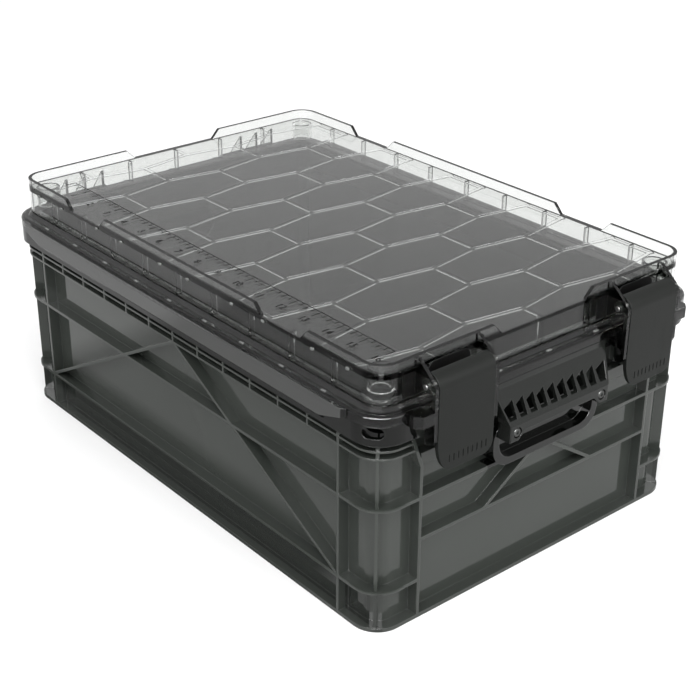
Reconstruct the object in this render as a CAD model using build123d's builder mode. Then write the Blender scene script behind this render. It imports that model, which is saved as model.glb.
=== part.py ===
from build123d import *
import os
from math import acos, atan2, cos, hypot, radians, sin

# All sizes are millimetres. X runs along the crate with the near end at +X, Y runs
# across it and Z is up. The origin is on the ground under the middle of the crate.

# Crate body: outline of the rib edges at the base, and the wall set in behind them
BASE_LENGTH = 466.0
BASE_WIDTH = 312.0
CORNER_RADIUS = 21.0
RIB_DEPTH = 9.0
WALL = 3.0
FLOOR = 3.0
SEAL_RIM_TOP = 168.0

# Ribs of the crate body
RIB = 2.5
THIN_RIB = 1.6
MAIN_RIB_Z = 98.0
LOW_RIB_Z = 32.0
END_RIB_Z = 65.0
UPPER_THIN_RIB_Z = 143.2
LOWER_THIN_RIB_Z = 137.3
SIDE_POST_X = 194.0
END_POST_Y = 116.0
DIVIDER_PITCH = 32.3
DIVIDERS = 11
BRACE_FOOT_X = 191.0
BRACE_FOOT_Z = 34.0
END_BRACE_TOP_Y = 7.5
END_BRACE_FOOT_Y = 55.0
CORNER_RIB_IN = 1.0

# Collar around the top of the crate body
COLLAR_OUT = 4.0
COLLAR_SKIN = 3.5
COLLAR_BOTTOM = 147.0
COLLAR_BEVEL = 3.0
SHELF_TOP = 164.0
SHELF_THICK = 3.0
CORNER_HOLE_WIDTH = 14.8
CORNER_HOLE_HEIGHT = 8.0
CORNER_HOLE_Z = 159.2
CORNER_HOLE_TURN = 52.0

# Side rails on the collar
RAIL_OUT = 8.0
RAIL_TOP = 171.5
RAIL_BOTTOM = 153.8
RAIL_HALF_LENGTH = 209.0
RAIL_CUT_X = 184.0
RAIL_END_Z = 166.0

# Hand-hold on each end of the crate body
HOLD_HALF_WIDTH = 53.0
HOLD_OPEN_HALF_WIDTH = 47.5
HOLD_BOTTOM = 96.5
HOLD_OPEN_BOTTOM = 102.0
HOLD_TOP = 134.0
HOLD_CORNER = 16.0
HOLD_BACK_IN = 4.0

# Latch recesses on the front end
LATCH_Y = 92.3
RECESS_INNER_Y = 57.6
RECESS_OUTER_Y = 128.2
RECESS_FLOOR_Z = 132.5
RECESS_LIP_Z = 123.0
RECESS_LIP_IN = 1.0
CATCH_HALF_WIDTH = 17.0
CATCH_Z = 150.0
CATCH_THICK = 4.0
CATCH_OUT = 9.7

# Lid
LID_SKIRT_OUT = 4.2
FLANGE_ROUND = 2.5
LID_SKIN = 3.0
SKIRT_BOTTOM = 164.3
FLANGE_UNDER = 168.5
FLANGE_TOP = 171.5
FOOT_TOP = 174.5
LID_WALL_IN = 4.7
PLATE_TOP = 195.9
RIM_TOP = 203.7
RIM_MIDDLE_HALF = 98.0
RIM_CORNER_START = 156.0
RIM_END_GAP_HALF = 49.0
RIM_SLOPE_RUN = 7.5
LID_RIB_PITCH_X = 45.15
LID_RIB_PITCH_Y = 48.3
LID_RIB_DEPTH = 4.0
LID_RIB = 2.0
LID_RIBS_ALONG = 9
LID_RIBS_ACROSS = 5
CELL_BAR = 37.6
CELL_RIB = 3.0
CELL_RELIEF = 1.0
CELL_COLUMNS = 13
CELL_ROWS = 9
SOCKET_RADIUS = 9.0
SOCKET_SKIN = 2.0
SOCKET_BOTTOM = 180.0
NOTCH_IN = 2.7

# Seal between the lid and the crate's rim
SEAL_OUT = 7.9
SEAL_WIDTH = 4.2
SEAL_LIP = 2.0

# Front latches and their pins
PIN_X = 239.0
PIN_Z = 186.0
PIN_RADIUS = 2.0
PIN_PROUD = 0.4
LATCH_WIDTH = 50.6
LATCH_ROLL = 10.0
LATCH_SKIN = 3.0
LATCH_BOTTOM = 124.4
LATCH_CORNER = 9.0
HOOK_Z = 146.8
HOOK_HEIGHT = 5.0
HOOK_CLEARANCE = 0.5
EAR_GAP = 0.3
EAR = 3.0
EAR_TOP_OUT = 3.1
EAR_KNEE_X = 245.2
EAR_KNEE_Z = 192.4
EAR_FRONT_X = 248.6
EAR_REAR_X = 239.4
EAR_SHOULDER_Z = 188.0
EAR_CORNER_Z = 149.5
EAR_BOTTOM = 144.5
GUARD_BOTTOM = 163.0
GUARD_OUTER_Y = 135.3
GUARD_SKIN = 2.0
GUARD_CHAMFER = 4.6

# Rear hinges: slotted blocks on the collar, and three fins of the lid in each
HINGE_OUT = 9.6
HINGE_Z = 164.8
HINGE_EYE = 4.4
HINGE_FOOT_Z = 148.0
HINGE_HALF_WIDTH = 28.0
FIN = 2.4
FIN_PITCH = 17.8
FIN_TOP = 189.0
FINS = 3

# Carrying handles
HANDLE_OUT = 16.0
HANDLE_SKIN = 3.0
HANDLE_TOP = 163.7
HANDLE_TOP_HALF = 57.0
HANDLE_LOW_HALF = 49.7
HANDLE_FLARE = 1.0
HANDLE_ROUND = 1.0
SLOPE_TOP_Z = 159.5
SLOPE_LOW_Z = 134.5
GRIP_BOTTOM = 128.0
LUG_BOTTOM = 122.0
LUG_INNER_Y = 41.0
LUG_SKIN = 2.0
SCREW_Y = 42.8
SCREW_Z = 128.6
SCREW_RADIUS = 2.0
SCREW_HEAD_RADIUS = 3.4
SCREW_HEAD_HEIGHT = 2.3
SCREW_HEAD_GAP = 0.6
SCREW_HEAD_ROUND = 1.2
SCREW_SOCKET = 1.4
SCREW_SOCKET_DEPTH = 1.3
SCREW_HOLE_DEPTH = 10.0
BOSS_RADIUS = 5.5
WINDOWS = 10
WINDOW_PITCH = 10.07
WINDOW_WIDTH = 6.4
WINDOW_LEAN = 1.5
WINDOW_RIM = 1.2
WINDOW_BOTTOM = 138.3
WINDOW_LEFT_TOP = 147.2
WINDOW_TIP = 150.8
END_WINDOW_LEAN = 2.6

# Gaps between moving pieces, and how far a rib runs into what carries it
CLOSE_GAP = 0.3
BORE_GAP = 0.05
OVERLAP = 1.0

HALF_LENGTH = BASE_LENGTH / 2
HALF_WIDTH = BASE_WIDTH / 2

SIDES = [
    Plane(origin=(0, -HALF_WIDTH, 0), x_dir=(1, 0, 0), z_dir=(0, -1, 0)),
    Plane(origin=(0, HALF_WIDTH, 0), x_dir=(-1, 0, 0), z_dir=(0, 1, 0)),
]
FRONT = Plane(origin=(HALF_LENGTH, 0, 0), x_dir=(0, 1, 0), z_dir=(1, 0, 0))
REAR = Plane(origin=(-HALF_LENGTH, 0, 0), x_dir=(0, -1, 0), z_dir=(-1, 0, 0))
ENDS = [FRONT, REAR]
BEHIND_RIBS = RIB_DEPTH + WALL / 2

os.makedirs("parts", exist_ok=True)


def outline(out):
    """Rounded rectangle of the crate's plan, moved out from the rib edges."""
    return RectangleRounded(BASE_LENGTH + 2 * out, BASE_WIDTH + 2 * out, CORNER_RADIUS + out)


def inner_outline(out):
    """The same rounded rectangle, cut from the sketch in hand."""
    return RectangleRounded(
        BASE_LENGTH + 2 * out,
        BASE_WIDTH + 2 * out,
        CORNER_RADIUS + out,
        mode=Mode.SUBTRACT,
    )


def across(z_low, z_high, y_low, y_high):
    """Corner points of an upright rectangle on an end plane."""
    return [(y_low, z_low), (y_high, z_low), (y_high, z_high), (y_low, z_high)]


def recess_edge(z):
    """Distance from the middle to the slanting outer edge of a latch recess."""
    rise = (z - RECESS_LIP_Z) / (SHELF_TOP - SHELF_THICK - RECESS_LIP_Z)
    return END_POST_Y + (RECESS_OUTER_Y - END_POST_Y) * rise


def centred(count, pitch):
    """Places of a row of evenly spaced pieces about the middle."""
    return [(step - (count - 1) / 2) * pitch for step in range(count)]


# Side rails of the crate: bevelled below, their lower corners and their ends cut back
with BuildPart() as rails:
    for face_sign in (-1, 1):
        rail_points = [
            (face_sign * (HALF_WIDTH + out), z)
            for out, z in (
                (COLLAR_OUT - COLLAR_SKIN / 2, RAIL_BOTTOM),
                (COLLAR_OUT, RAIL_BOTTOM),
                (RAIL_OUT, RAIL_BOTTOM + RAIL_OUT - COLLAR_OUT),
                (RAIL_OUT, RAIL_TOP),
                (LID_SKIRT_OUT + CLOSE_GAP, RAIL_TOP),
                (LID_SKIRT_OUT + CLOSE_GAP, SHELF_TOP),
                (COLLAR_OUT - COLLAR_SKIN / 2, SHELF_TOP),
            )
        ]
        with BuildSketch(Plane.YZ):
            Polygon(*rail_points, align=None)
        extrude(amount=RAIL_HALF_LENGTH, both=True)
    with BuildSketch(Plane.XZ):
        for end_sign in (-1, 1):
            Polygon(
                (end_sign * RAIL_CUT_X, RAIL_BOTTOM + RAIL_OUT - COLLAR_OUT),
                (end_sign * (RAIL_HALF_LENGTH + OVERLAP), RAIL_END_Z),
                (end_sign * (RAIL_HALF_LENGTH + OVERLAP), COLLAR_BOTTOM),
                (end_sign * RAIL_CUT_X, COLLAR_BOTTOM),
                align=None,
            )
    extrude(amount=HALF_WIDTH + 2 * RAIL_OUT, both=True, mode=Mode.SUBTRACT)
    with BuildSketch(Plane.XY.offset(COLLAR_BOTTOM)):
        for sign_x in (-1, 1):
            for sign_y in (-1, 1):
                Polygon(
                    (sign_x * (RAIL_HALF_LENGTH - RAIL_OUT + COLLAR_OUT), sign_y * (HALF_WIDTH + RAIL_OUT)),
                    (sign_x * RAIL_HALF_LENGTH, sign_y * (HALF_WIDTH + COLLAR_OUT)),
                    (sign_x * RAIL_HALF_LENGTH, sign_y * (HALF_WIDTH + RAIL_OUT)),
                    align=None,
                )
    extrude(amount=RAIL_TOP - COLLAR_BOTTOM, mode=Mode.SUBTRACT)


# Hinge blocks: round-topped over the pin, sloping below, slotted for the fins of the lid
hinge_x = HALF_LENGTH + HINGE_OUT
block_radius = HINGE_OUT - LID_SKIRT_OUT - CLOSE_GAP
with BuildPart() as hinge_blocks:
    for side in (-1, 1):
        with BuildSketch(Plane.XZ.offset(side * LATCH_Y)):
            Polygon(
                (-(HALF_LENGTH + COLLAR_OUT - COLLAR_SKIN / 2), HINGE_FOOT_Z),
                (-(HALF_LENGTH + COLLAR_OUT), HINGE_FOOT_Z),
                (-(hinge_x + block_radius), HINGE_FOOT_Z + HINGE_OUT + block_radius - COLLAR_OUT),
                (-(hinge_x + block_radius), HINGE_Z),
                (-(hinge_x - block_radius), HINGE_Z),
                (-(hinge_x - block_radius), SHELF_TOP),
                (-(HALF_LENGTH + COLLAR_OUT - COLLAR_SKIN / 2), SHELF_TOP),
                align=None,
            )
            with Locations((-hinge_x, HINGE_Z)):
                Circle(block_radius)
        extrude(amount=HINGE_HALF_WIDTH, both=True)
        # slots for the fins, open above and behind
        for fin_y in centred(FINS, FIN_PITCH):
            with BuildSketch(Plane.XZ.offset(side * LATCH_Y + fin_y)):
                Polygon(
                    (-(HALF_LENGTH + COLLAR_OUT), HINGE_Z - HINGE_EYE - CLOSE_GAP),
                    (-(hinge_x + 2 * block_radius), HINGE_Z - HINGE_EYE - CLOSE_GAP),
                    (-(hinge_x + 2 * block_radius), HINGE_Z + 2 * block_radius),
                    (-(HALF_LENGTH + COLLAR_OUT), HINGE_Z + 2 * block_radius),
                    align=None,
                )
            extrude(amount=FIN / 2 + CLOSE_GAP, both=True, mode=Mode.SUBTRACT)
    with BuildSketch(Plane.XZ):
        with Locations((-hinge_x, HINGE_Z)):
            Circle(PIN_RADIUS + BORE_GAP)
    extrude(amount=HALF_WIDTH, both=True, mode=Mode.SUBTRACT)


# Crate body: ribbed shell with a floor, a collar, rails, hand-holds, catches and hinge blocks
with BuildPart() as crate_body:
    # solid core behind the ribs, hollowed at the end
    with BuildSketch():
        outline(-RIB_DEPTH)
    extrude(amount=SEAL_RIM_TOP)
    with BuildSketch():
        outline(0)
    extrude(amount=FLOOR)

    # level ribs that run round the body
    for rib_z, rib_height in (
        (MAIN_RIB_Z, RIB),
        (LOW_RIB_Z, RIB),
        (UPPER_THIN_RIB_Z, THIN_RIB),
        (LOWER_THIN_RIB_Z, THIN_RIB),
    ):
        with BuildSketch(Plane.XY.offset(rib_z - rib_height / 2)):
            outline(0)
        extrude(amount=rib_height)

    # the end bays carry no low rib between the posts, and no thin ribs behind latches and handles
    for end, bare_half in ((FRONT, END_POST_Y), (REAR, RECESS_INNER_Y)):
        with BuildSketch(end):
            with Locations((0, LOW_RIB_Z)):
                Rectangle(2 * END_POST_Y, 2 * RIB)
            with Locations((0, (RECESS_LIP_Z + SHELF_TOP) / 2)):
                Rectangle(2 * bare_half, SHELF_TOP - RECESS_LIP_Z)
        extrude(amount=-RIB_DEPTH, mode=Mode.SUBTRACT)

    # collar: a skirt with a bevelled lower edge, hung from a level shelf
    with BuildSketch(Plane.XY.offset(COLLAR_BOTTOM)):
        outline(COLLAR_OUT - COLLAR_BEVEL)
    extrude(amount=COLLAR_BEVEL, taper=-45)
    with BuildSketch(Plane.XY.offset(COLLAR_BOTTOM + COLLAR_BEVEL)):
        outline(COLLAR_OUT)
    extrude(amount=SHELF_TOP - COLLAR_BOTTOM - COLLAR_BEVEL)
    with BuildSketch(Plane.XY.offset(COLLAR_BOTTOM)):
        outline(COLLAR_OUT - COLLAR_SKIN)
        inner_outline(-RIB_DEPTH)
    extrude(amount=SHELF_TOP - SHELF_THICK - COLLAR_BOTTOM, mode=Mode.SUBTRACT)

    # the collar is cut away in front for the handle and the latches, behind for the handle alone
    with BuildSketch(FRONT.offset(COLLAR_OUT - COLLAR_SKIN)):
        Polygon(
            (-recess_edge(COLLAR_BOTTOM), COLLAR_BOTTOM),
            (recess_edge(COLLAR_BOTTOM), COLLAR_BOTTOM),
            (recess_edge(SHELF_TOP), SHELF_TOP),
            (-recess_edge(SHELF_TOP), SHELF_TOP),
            align=None,
        )
    with BuildSketch(REAR.offset(COLLAR_OUT - COLLAR_SKIN)):
        Polygon(*across(COLLAR_BOTTOM, SHELF_TOP, -RECESS_INNER_Y, RECESS_INNER_Y), align=None)
    extrude(amount=2 * COLLAR_OUT, mode=Mode.SUBTRACT)
    with BuildSketch(FRONT.offset(COLLAR_OUT)):
        for side in (-1, 1):
            Polygon(
                (side * RECESS_INNER_Y, RECESS_FLOOR_Z),
                (side * recess_edge(RECESS_FLOOR_Z), RECESS_FLOOR_Z),
                (side * recess_edge(SHELF_TOP - SHELF_THICK), SHELF_TOP - SHELF_THICK),
                (side * RECESS_INNER_Y, SHELF_TOP - SHELF_THICK),
                align=None,
            )
    extrude(amount=-(COLLAR_OUT + RIB_DEPTH), mode=Mode.SUBTRACT)

    # upright posts, sloping braces and short dividers on the long sides
    with BuildSketch(*SIDES):
        for post_x in (-SIDE_POST_X, SIDE_POST_X):
            with Locations((post_x, COLLAR_BOTTOM / 2)):
                Rectangle(RIB, COLLAR_BOTTOM)
        for divider_x in centred(DIVIDERS, DIVIDER_PITCH):
            with Locations((divider_x, (COLLAR_BOTTOM + LOWER_THIN_RIB_Z) / 2)):
                Rectangle(THIN_RIB, COLLAR_BOTTOM - LOWER_THIN_RIB_Z)
        for foot_x in (-BRACE_FOOT_X, BRACE_FOOT_X):
            with BuildLine():
                Line((0, LOWER_THIN_RIB_Z), (foot_x, BRACE_FOOT_Z))
                offset(amount=RIB / 2)
            make_face()
    extrude(amount=-BEHIND_RIBS)

    # corner ribs along the diagonals
    corner_x = HALF_LENGTH - CORNER_RADIUS
    corner_y = HALF_WIDTH - CORNER_RADIUS
    rib_reach = CORNER_RADIUS - RIB_DEPTH / 2 - CORNER_RIB_IN
    with BuildSketch():
        for sign_x in (-1, 1):
            for sign_y in (-1, 1):
                rib_x = sign_x * (corner_x + rib_reach * cos(radians(45)))
                rib_y = sign_y * (corner_y + rib_reach * sin(radians(45)))
                with Locations((rib_x, rib_y)):
                    Rectangle(RIB_DEPTH, RIB, rotation=45 * sign_x * sign_y)
    extrude(amount=COLLAR_BOTTOM + OVERLAP)

    # end bays: posts, the level rib, braces up to the hand-hold, pillars and recess sides
    for end, post_top in ((FRONT, RECESS_LIP_Z), (REAR, COLLAR_BOTTOM)):
        with BuildSketch(end):
            for post_y in (-END_POST_Y, END_POST_Y):
                with Locations((post_y, post_top / 2)):
                    Rectangle(RIB, post_top)
        extrude(amount=-BEHIND_RIBS)
    with BuildSketch(*ENDS):
        with Locations((0, END_RIB_Z)):
            Rectangle(2 * END_POST_Y, RIB)
        for side in (-1, 1):
            with BuildLine():
                Line((side * END_BRACE_TOP_Y, HOLD_BOTTOM), (side * END_BRACE_FOOT_Y, END_RIB_Z))
                offset(amount=RIB / 2)
            make_face()
            with Locations((side * (RECESS_INNER_Y + RIB / 2), (RECESS_FLOOR_Z + SHELF_TOP) / 2)):
                Rectangle(RIB, SHELF_TOP - RECESS_FLOOR_Z)
    with BuildSketch(FRONT):
        for side in (-1, 1):
            with BuildLine():
                Line(
                    (side * END_POST_Y, RECESS_LIP_Z),
                    (side * (RECESS_OUTER_Y + RIB / 2), SHELF_TOP - SHELF_THICK),
                )
                offset(amount=RIB / 2)
            make_face()
    extrude(amount=-BEHIND_RIBS)

    # floor of each latch recess, with a lip hanging from its front edge
    with BuildSketch(FRONT.offset(-RECESS_LIP_IN)):
        for side in (-1, 1):
            y_edges = sorted((side * RECESS_INNER_Y, side * END_POST_Y))
            Polygon(*across(RECESS_LIP_Z, RECESS_FLOOR_Z, *y_edges), align=None)
    extrude(amount=-(BEHIND_RIBS - RECESS_LIP_IN))
    with BuildSketch(FRONT.offset(-RECESS_LIP_IN - RIB)):
        for side in (-1, 1):
            y_edges = sorted((side * (RECESS_INNER_Y + RIB), side * (END_POST_Y - RIB)))
            Polygon(*across(RECESS_LIP_Z, RECESS_FLOOR_Z - RIB, *y_edges), align=None)
    extrude(amount=-(RIB_DEPTH - RECESS_LIP_IN - RIB), mode=Mode.SUBTRACT)

    # catches for the latch hooks: a ledge carried by two webs in each recess
    with BuildSketch(FRONT.offset(CATCH_OUT)):
        for side in (-1, 1):
            with Locations((side * LATCH_Y, CATCH_Z + CATCH_THICK / 2)):
                Rectangle(2 * CATCH_HALF_WIDTH, CATCH_THICK)
    extrude(amount=-(CATCH_OUT + BEHIND_RIBS))
    with BuildSketch(FRONT.offset(CATCH_OUT - RIB)):
        for side in (-1, 1):
            for web in (-1, 1):
                web_y = side * LATCH_Y + web * (CATCH_HALF_WIDTH - 2 * RIB)
                with Locations((web_y, (RECESS_FLOOR_Z + SHELF_TOP) / 2)):
                    Rectangle(RIB, SHELF_TOP - RECESS_FLOOR_Z - 2 * SHELF_THICK)
    extrude(amount=-(CATCH_OUT - RIB + BEHIND_RIBS))

    # hand-hold: a raised ring with a shallow back, and a boss for each handle screw
    hold_height = HOLD_TOP - HOLD_BOTTOM
    open_height = HOLD_TOP - HOLD_OPEN_BOTTOM - RIB
    with BuildSketch(*[end.offset(COLLAR_OUT) for end in ENDS]):
        with Locations((0, HOLD_BOTTOM + hold_height / 2)):
            RectangleRounded(2 * HOLD_HALF_WIDTH, hold_height, HOLD_CORNER)
    extrude(amount=-(COLLAR_OUT + BEHIND_RIBS))
    with BuildSketch(*[end.offset(COLLAR_OUT) for end in ENDS]):
        with Locations((0, HOLD_OPEN_BOTTOM + open_height / 2)):
            RectangleRounded(2 * HOLD_OPEN_HALF_WIDTH, open_height, HOLD_CORNER - RIB)
    extrude(amount=-(COLLAR_OUT + HOLD_BACK_IN), mode=Mode.SUBTRACT)
    with BuildSketch(*[end.offset(COLLAR_OUT) for end in ENDS]):
        with Locations((-SCREW_Y, SCREW_Z), (SCREW_Y, SCREW_Z)):
            Circle(BOSS_RADIUS)
    extrude(amount=-(COLLAR_OUT + BEHIND_RIBS))

    # side rails and hinge blocks
    add(rails.part)
    add(hinge_blocks.part)

    # oval hole through the collar at each corner
    hole_x = cos(radians(CORNER_HOLE_TURN))
    hole_y = sin(radians(CORNER_HOLE_TURN))
    for sign_x in (-1, 1):
        for sign_y in (-1, 1):
            hole_plane = Plane(
                origin=(
                    sign_x * (corner_x + CORNER_RADIUS * hole_x),
                    sign_y * (corner_y + CORNER_RADIUS * hole_y),
                    CORNER_HOLE_Z,
                ),
                x_dir=(-sign_y * hole_y, sign_x * hole_x, 0),
                z_dir=(sign_x * hole_x, sign_y * hole_y, 0),
            )
            with BuildSketch(hole_plane):
                SlotOverall(CORNER_HOLE_WIDTH, CORNER_HOLE_HEIGHT)
            extrude(amount=2 * COLLAR_OUT, both=True, mode=Mode.SUBTRACT)

    # inside of the crate, and the hollow behind each hand-hold
    with BuildSketch(Plane.XY.offset(FLOOR)):
        outline(-RIB_DEPTH - WALL)
    extrude(amount=SEAL_RIM_TOP, mode=Mode.SUBTRACT)
    with BuildSketch(*[end.offset(-HOLD_BACK_IN - WALL) for end in ENDS]):
        with Locations((0, HOLD_OPEN_BOTTOM + open_height / 2)):
            RectangleRounded(2 * SCREW_Y - 2 * BOSS_RADIUS, open_height, HOLD_CORNER - RIB)
    extrude(amount=-RIB_DEPTH - WALL, mode=Mode.SUBTRACT)

    # screw holes
    with BuildSketch(*[end.offset(COLLAR_OUT) for end in ENDS]):
        with Locations((-SCREW_Y, SCREW_Z), (SCREW_Y, SCREW_Z)):
            Circle(SCREW_RADIUS + BORE_GAP)
    extrude(amount=-SCREW_HOLE_DEPTH, mode=Mode.SUBTRACT)

crate_body.part.label = "crate_body"
export_step(crate_body.part, "parts/crate_body.step")

# Lid: clear plate on a low wall, a flange and skirt over the collar, ears in front, fins behind
with BuildPart() as lid:
    # flange with a rounded upper edge, and a sloping foot under the wall
    with BuildSketch(Plane.XY.offset(SKIRT_BOTTOM)):
        outline(LID_SKIRT_OUT)
    extrude(amount=FLANGE_TOP - SKIRT_BOTTOM)
    fillet(lid.edges().group_by(Axis.Z)[-1], radius=FLANGE_ROUND)
    with BuildSketch(Plane.XY.offset(FLANGE_TOP)):
        outline(FOOT_TOP - FLANGE_TOP - LID_WALL_IN)
    extrude(amount=FOOT_TOP - FLANGE_TOP, taper=45)
    with BuildSketch(Plane.XY.offset(FLANGE_TOP)):
        outline(-LID_WALL_IN)
    extrude(amount=PLATE_TOP - FLANGE_TOP)

    # hollow: inside of the skirt, seat of the seal, and the space under the plate
    with BuildSketch(Plane.XY.offset(SKIRT_BOTTOM)):
        outline(LID_SKIRT_OUT - LID_SKIN)
    extrude(amount=FLANGE_UNDER - SKIRT_BOTTOM, mode=Mode.SUBTRACT)
    with BuildSketch(Plane.XY.offset(FLANGE_UNDER)):
        outline(-LID_WALL_IN - LID_SKIN)
    extrude(amount=FLANGE_TOP - FLANGE_UNDER, mode=Mode.SUBTRACT)
    with BuildSketch(Plane.XY.offset(FLANGE_TOP)):
        outline(-SEAL_OUT - SEAL_WIDTH - SEAL_LIP)
    extrude(amount=FOOT_TOP - FLANGE_TOP, mode=Mode.SUBTRACT)
    with BuildSketch(Plane.XY.offset(FOOT_TOP)):
        outline(-LID_WALL_IN - LID_SKIN)
    extrude(amount=PLATE_TOP - LID_SKIN - FOOT_TOP, mode=Mode.SUBTRACT)

    # lip that holds the seal against the inside of the wall
    with BuildSketch(Plane.XY.offset(FLANGE_TOP - SEAL_LIP)):
        outline(-SEAL_OUT - SEAL_WIDTH - BORE_GAP)
        inner_outline(-SEAL_OUT - SEAL_WIDTH - SEAL_LIP)
    extrude(amount=SEAL_LIP)

    # raised rim on the plate, open in two gaps on each side and one on each end
    with BuildSketch(Plane.XY.offset(PLATE_TOP)):
        outline(-LID_WALL_IN)
        inner_outline(-LID_WALL_IN - LID_SKIN)
    extrude(amount=RIM_TOP - PLATE_TOP)
    with BuildSketch(*SIDES):
        for side in (-1, 1):
            Polygon(
                (side * RIM_MIDDLE_HALF, RIM_TOP),
                (side * RIM_CORNER_START, RIM_TOP),
                (side * (RIM_CORNER_START - RIM_SLOPE_RUN), PLATE_TOP),
                (side * (RIM_MIDDLE_HALF + RIM_SLOPE_RUN), PLATE_TOP),
                align=None,
            )
    extrude(amount=-CORNER_RADIUS, mode=Mode.SUBTRACT)
    with BuildSketch(*ENDS):
        Polygon(
            (-RIM_END_GAP_HALF, RIM_TOP),
            (RIM_END_GAP_HALF, RIM_TOP),
            (RIM_END_GAP_HALF - RIM_SLOPE_RUN, PLATE_TOP),
            (RIM_SLOPE_RUN - RIM_END_GAP_HALF, PLATE_TOP),
            align=None,
        )
    extrude(amount=-CORNER_RADIUS, mode=Mode.SUBTRACT)

    # stiffening ribs inside the wall
    rib_x = HALF_LENGTH - LID_WALL_IN - LID_SKIN - LID_RIB_DEPTH / 2
    rib_y = HALF_WIDTH - LID_WALL_IN - LID_SKIN - LID_RIB_DEPTH / 2
    with BuildSketch(Plane.XY.offset(FOOT_TOP)):
        for place_x in centred(LID_RIBS_ALONG, LID_RIB_PITCH_X):
            with Locations((place_x, rib_y), (place_x, -rib_y)):
                Rectangle(LID_RIB, LID_RIB_DEPTH)
        for place_y in centred(LID_RIBS_ACROSS, LID_RIB_PITCH_Y):
            with Locations((rib_x, place_y), (-rib_x, place_y)):
                Rectangle(LID_RIB_DEPTH, LID_RIB)
    extrude(amount=PLATE_TOP - LID_SKIN - FOOT_TOP)

    # honeycomb of long six-sided cells in low ribs under the plate
    cell_half = LID_RIB_PITCH_X - CELL_BAR / 2
    with BuildSketch(mode=Mode.PRIVATE) as cell:
        Polygon(
            (cell_half, 0),
            (CELL_BAR / 2, LID_RIB_PITCH_Y),
            (-CELL_BAR / 2, LID_RIB_PITCH_Y),
            (-cell_half, 0),
            (-CELL_BAR / 2, -LID_RIB_PITCH_Y),
            (CELL_BAR / 2, -LID_RIB_PITCH_Y),
            align=None,
        )
        offset(amount=-CELL_RIB / 2, kind=Kind.INTERSECTION)
    with BuildSketch(Plane.XY.offset(PLATE_TOP - LID_SKIN - CELL_RELIEF)):
        outline(OVERLAP / 2 - LID_WALL_IN - LID_SKIN)
        for column, cell_x in enumerate(centred(CELL_COLUMNS, LID_RIB_PITCH_X)):
            for row, cell_y in enumerate(centred(CELL_ROWS, LID_RIB_PITCH_Y)):
                if (column + row) % 2 == 0:
                    with Locations((cell_x, cell_y)):
                        add(cell.sketch, mode=Mode.SUBTRACT)
    extrude(amount=CELL_RELIEF)

    # sockets inside the corners
    with BuildSketch(Plane.XY.offset(SOCKET_BOTTOM)):
        with GridLocations(BASE_LENGTH - 2 * CORNER_RADIUS, BASE_WIDTH - 2 * CORNER_RADIUS, 2, 2):
            Circle(SOCKET_RADIUS)
            Circle(SOCKET_RADIUS - SOCKET_SKIN, mode=Mode.SUBTRACT)
    extrude(amount=PLATE_TOP - LID_SKIN - SOCKET_BOTTOM)

    # the flange is notched between each pair of ears to clear the latch
    with BuildSketch(Plane.XY.offset(SKIRT_BOTTOM)):
        with Locations((HALF_LENGTH + COLLAR_OUT, -LATCH_Y), (HALF_LENGTH + COLLAR_OUT, LATCH_Y)):
            Rectangle(2 * (COLLAR_OUT + NOTCH_IN), LATCH_WIDTH + 2 * EAR_GAP)
    extrude(amount=FOOT_TOP - SKIRT_BOTTOM, mode=Mode.SUBTRACT)

    # guards: a chamfered hollow block on the skirt beside each outer ear
    ear_outer = LATCH_Y + LATCH_WIDTH / 2 + EAR_GAP + EAR
    for level, height, inner_x in (
        (GUARD_BOTTOM, SKIRT_BOTTOM - GUARD_BOTTOM, HALF_LENGTH + COLLAR_OUT + CLOSE_GAP),
        (SKIRT_BOTTOM, FLANGE_TOP - SKIRT_BOTTOM, HALF_LENGTH + LID_SKIRT_OUT - LID_SKIN / 2),
    ):
        with BuildSketch(Plane.XY.offset(level)):
            for side in (-1, 1):
                Polygon(
                    (inner_x, side * (ear_outer - EAR)),
                    (EAR_FRONT_X, side * (ear_outer - EAR)),
                    (EAR_FRONT_X, side * (GUARD_OUTER_Y - GUARD_CHAMFER)),
                    (EAR_FRONT_X - GUARD_CHAMFER, side * GUARD_OUTER_Y),
                    (inner_x, side * GUARD_OUTER_Y),
                    align=None,
                )
        extrude(amount=height)
    guard_in = HALF_LENGTH + LID_SKIRT_OUT + GUARD_SKIN
    guard_corner = GUARD_CHAMFER + GUARD_SKIN / 2
    with BuildSketch(Plane.XY.offset(GUARD_BOTTOM)):
        for side in (-1, 1):
            Polygon(
                (guard_in, side * (ear_outer + CLOSE_GAP)),
                (EAR_FRONT_X - GUARD_SKIN, side * (ear_outer + CLOSE_GAP)),
                (EAR_FRONT_X - GUARD_SKIN, side * (GUARD_OUTER_Y - guard_corner)),
                (EAR_FRONT_X - guard_corner, side * (GUARD_OUTER_Y - GUARD_SKIN)),
                (guard_in, side * (GUARD_OUTER_Y - GUARD_SKIN)),
                align=None,
            )
    extrude(amount=FLANGE_TOP - GUARD_SKIN - GUARD_BOTTOM, mode=Mode.SUBTRACT)

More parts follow.
